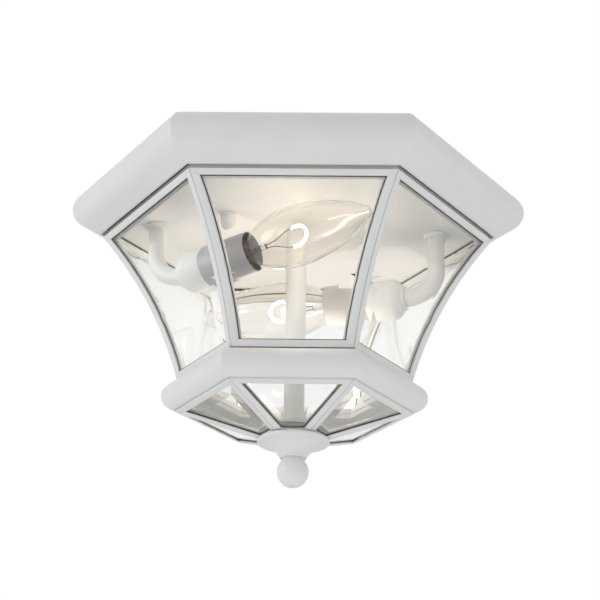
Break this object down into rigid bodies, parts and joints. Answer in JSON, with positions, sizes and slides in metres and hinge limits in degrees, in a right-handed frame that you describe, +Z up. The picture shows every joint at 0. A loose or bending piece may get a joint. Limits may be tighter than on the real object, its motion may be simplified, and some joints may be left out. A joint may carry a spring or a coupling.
{
  "type": "outdoor ceiling light",
  "caption": "Hexagonal flush-mount porch light: rounded canopy, flared glass cage with bevelled panes, faceted glass base, ball finial and candelabra bulbs on bent arms.",
  "frame": {"origin": "centre of the mounting bar's top face, which lies in the ceiling plane with the canopy's rim", "axes": "+Z up into the ceiling, X through two corners of the hexagon, -Y out of the flat front side"},
  "size_m": [0.267, 0.2312, 0.1808],
  "materials": {
    "white_coat": "fine-textured white powder coat",
    "zinc_steel": "zinc-plated steel",
    "ground_green": "green-dyed steel",
    "pane_glass": "clear glass, bevelled edges",
    "bulb_glass": "clear blown glass",
    "socket_sleeve": "grey socket sleeve",
    "socket_insulator": "dark moulded insulator",
    "socket_brass": "rolled brass thread",
    "bulb_base": "nickel-plated rolled thread",
    "bulb_insulator": "black glass insulator",
    "filament": "fine wire",
    "lead_wire": "insulated wire"
  },
  "bodies": {
    "canopy": {"canopy_pan": "white_coat", "mounting_bar": "zinc_steel", "mounting_studs": "zinc_steel", "stud_nuts": "zinc_steel", "ground_screw": "ground_green", "threaded_rod": "zinc_steel", "rod_washer": "zinc_steel", "rod_nut": "zinc_steel", "stem_tube": "white_coat", "arm_left": "white_coat", "arm_right": "white_coat", "arm_collars": "white_coat", "arm_nuts": "zinc_steel", "wire_leads": "lead_wire", "socket_cup_left": "white_coat", "socket_cup_right": "white_coat", "socket_sleeve_left": "socket_sleeve", "socket_sleeve_right": "socket_sleeve", "socket_insulator_left": "socket_insulator", "socket_insulator_right": "socket_insulator", "socket_shell_left": "socket_brass", "socket_shell_right": "socket_brass", "socket_contacts": "socket_brass"},
    "cage": {"upper_frame_1": "white_coat", "upper_frame_2": "white_coat", "upper_frame_3": "white_coat", "upper_frame_4": "white_coat", "upper_frame_5": "white_coat", "upper_frame_6": "white_coat", "upper_glass_1": "pane_glass", "upper_glass_2": "pane_glass", "upper_glass_3": "pane_glass", "upper_glass_4": "pane_glass", "upper_glass_5": "pane_glass", "upper_glass_6": "pane_glass", "lower_frames": "white_coat", "lower_glass": "pane_glass", "cage_top_ring": "white_coat", "mid_moulding": "white_coat", "bottom_hub": "white_coat", "bottom_cap": "white_coat"},
    "finial_washer": {"finial_washer": "white_coat"},
    "finial_ball": {"finial_ball": "white_coat"},
    "nut_washer_left": {"nut_washer_left": "white_coat"},
    "ball_nut_left": {"ball_nut_left": "white_coat"},
    "bulb_contact_left": {"bulb_contact_left": "bulb_base"},
    "bulb_left": {"bulb_insulator_left": "bulb_insulator", "bulb_base_left": "bulb_base", "bulb_glass_left": "bulb_glass", "bulb_mount_left": "bulb_glass", "bulb_filament_left": "filament"},
    "nut_washer_right": {"nut_washer_right": "white_coat"},
    "ball_nut_right": {"ball_nut_right": "white_coat"},
    "bulb_contact_right": {"bulb_contact_right": "bulb_base"},
    "bulb_right": {"bulb_insulator_right": "bulb_insulator", "bulb_base_right": "bulb_base", "bulb_glass_right": "bulb_glass", "bulb_mount_right": "bulb_glass", "bulb_filament_right": "filament"}
  },
  "joints": [
    {"name": "cage_travel", "type": "slide", "parent": "canopy", "child": "cage", "axis": [0, 0, -1], "range_m": [0, 0.15]},
    {"name": "finial_travel", "type": "slide", "parent": "cage", "child": "finial_washer", "axis": [0, 0, -1], "range_m": [0, 0.00698]},
    {"name": "finial_turn", "type": "hinge", "parent": "finial_washer", "child": "finial_ball", "pos_m": [0, 0, -0.1651], "axis": [0, 0, -1], "range_deg": [0, 1982]},
    {"name": "nut_left_travel", "type": "slide", "parent": "canopy", "child": "nut_washer_left", "axis": [0, 0, -1], "range_m": [0, 0.00595]},
    {"name": "nut_left_turn", "type": "hinge", "parent": "nut_washer_left", "child": "ball_nut_left", "pos_m": [-0.03849, -0.02223, -0.0244], "axis": [0, 0, -1], "range_deg": [0, 2702]},
    {"name": "nut_right_travel", "type": "slide", "parent": "canopy", "child": "nut_washer_right", "axis": [0, 0, -1], "range_m": [0, 0.00595]},
    {"name": "nut_right_turn", "type": "hinge", "parent": "nut_washer_right", "child": "ball_nut_right", "pos_m": [0.03849, 0.02223, -0.0244], "axis": [0, 0, -1], "range_deg": [0, 2702]},
    {"name": "bulb_left_travel", "type": "slide", "parent": "canopy", "child": "bulb_contact_left", "axis": [0.8732, -0.4643, 0.1478], "range_m": [0, 0.00762]},
    {"name": "bulb_left_turn", "type": "hinge", "parent": "bulb_contact_left", "child": "bulb_left", "pos_m": [-0.04505, -0.02429, -0.05571], "axis": [0.8732, -0.4643, 0.1478], "range_deg": [0, 1082]},
    {"name": "bulb_right_travel", "type": "slide", "parent": "canopy", "child": "bulb_contact_right", "axis": [-0.9656, 0.2587, -0.0262], "range_m": [0, 0.00254]},
    {"name": "bulb_right_turn", "type": "hinge", "parent": "bulb_contact_right", "child": "bulb_right", "pos_m": [0.04131, 0.01596, -0.06276], "axis": [-0.9656, 0.2587, -0.0262], "range_deg": [0, 362]}
  ],
  "couplings": [
    {"joint": "finial_turn", "follows": "finial_travel", "rad_per_m": 4947.4},
    {"joint": "nut_left_turn", "follows": "nut_left_travel", "rad_per_m": 7915.8},
    {"joint": "nut_right_turn", "follows": "nut_right_travel", "rad_per_m": 7915.8},
    {"joint": "bulb_left_turn", "follows": "bulb_left_travel", "rad_per_m": 2473.7},
    {"joint": "bulb_right_turn", "follows": "bulb_right_travel", "rad_per_m": 2473.7}
  ]
}
